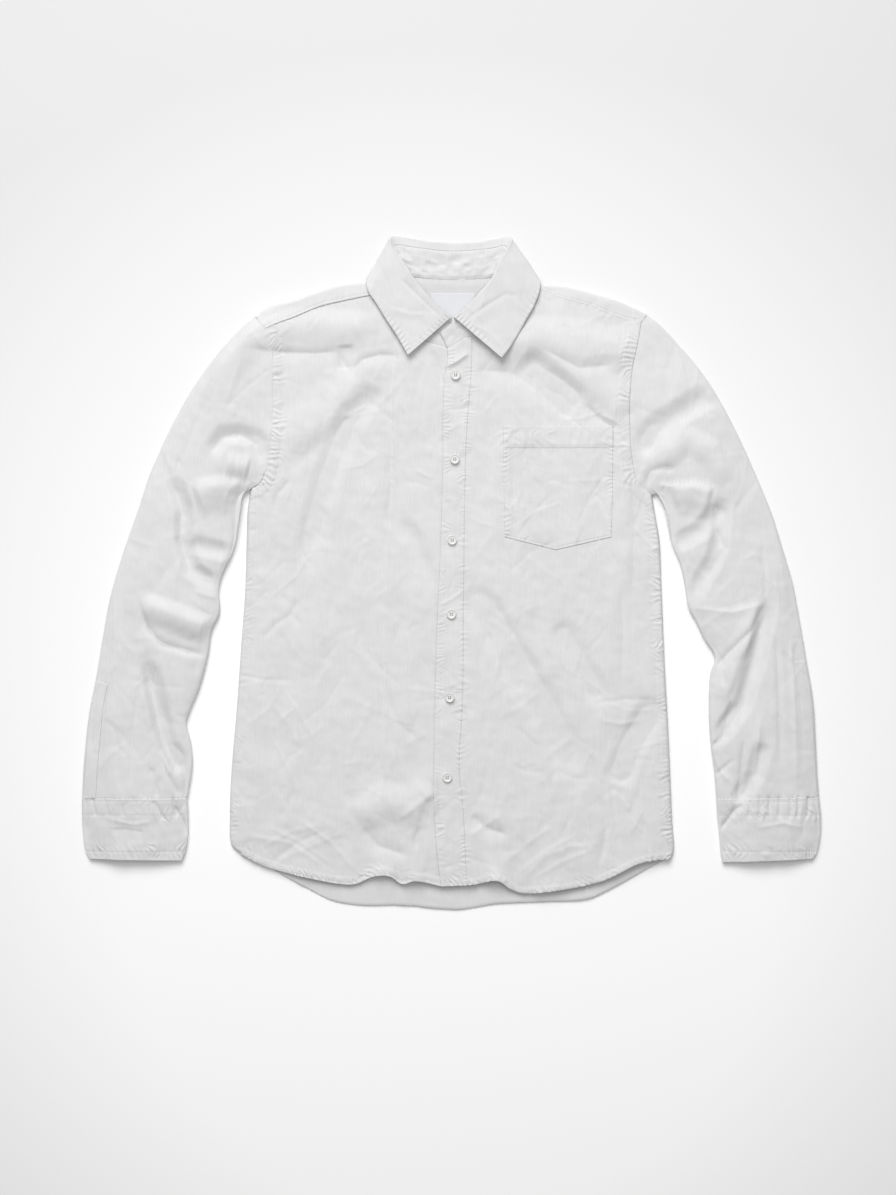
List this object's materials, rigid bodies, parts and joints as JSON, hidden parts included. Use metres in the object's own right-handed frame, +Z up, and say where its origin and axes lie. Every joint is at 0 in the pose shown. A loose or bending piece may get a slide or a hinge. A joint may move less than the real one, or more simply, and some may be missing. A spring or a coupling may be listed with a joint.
{
  "type": "crumpled long-sleeved shirt laid flat",
  "caption": "White crumpled cotton button-up shirt lying face up, with long sleeves bent along its sides, a soft collar, cuffs, chest pocket and curved hem.",
  "frame": {"origin": "centre of the shirt's bounding box in plan, on the surface that it lies on", "axes": "+X towards the wearer's left (picture right), +Y from the hem towards the collar, +Z up out of the face of the shirt"},
  "size_m": [0.87, 0.7926, 0.0193],
  "materials": {
    "cotton": "plain-woven white cotton shirting, washed and crumpled, matt",
    "label": "smooth blank woven label, faintly bluish",
    "button": "off-white shirt button, soft gloss"
  },
  "bodies": {
    "root": {"back": "cotton", "yoke": "cotton", "front_right": "cotton", "front_left": "cotton", "button_placket": "cotton", "pocket": "cotton", "sleeve_right": "cotton", "sleeve_placket_right": "cotton", "cuff_right": "cotton", "sleeve_left": "cotton", "sleeve_placket_left": "cotton", "cuff_left": "cotton", "collar_stand": "cotton", "collar": "cotton", "neck_label": "label", "button_1": "button", "button_2": "button", "button_3": "button", "button_4": "button", "button_5": "button", "button_6": "button", "button_collar": "button", "cuff_button_right": "button", "cuff_button_left": "button"}
  },
  "joints": []
}
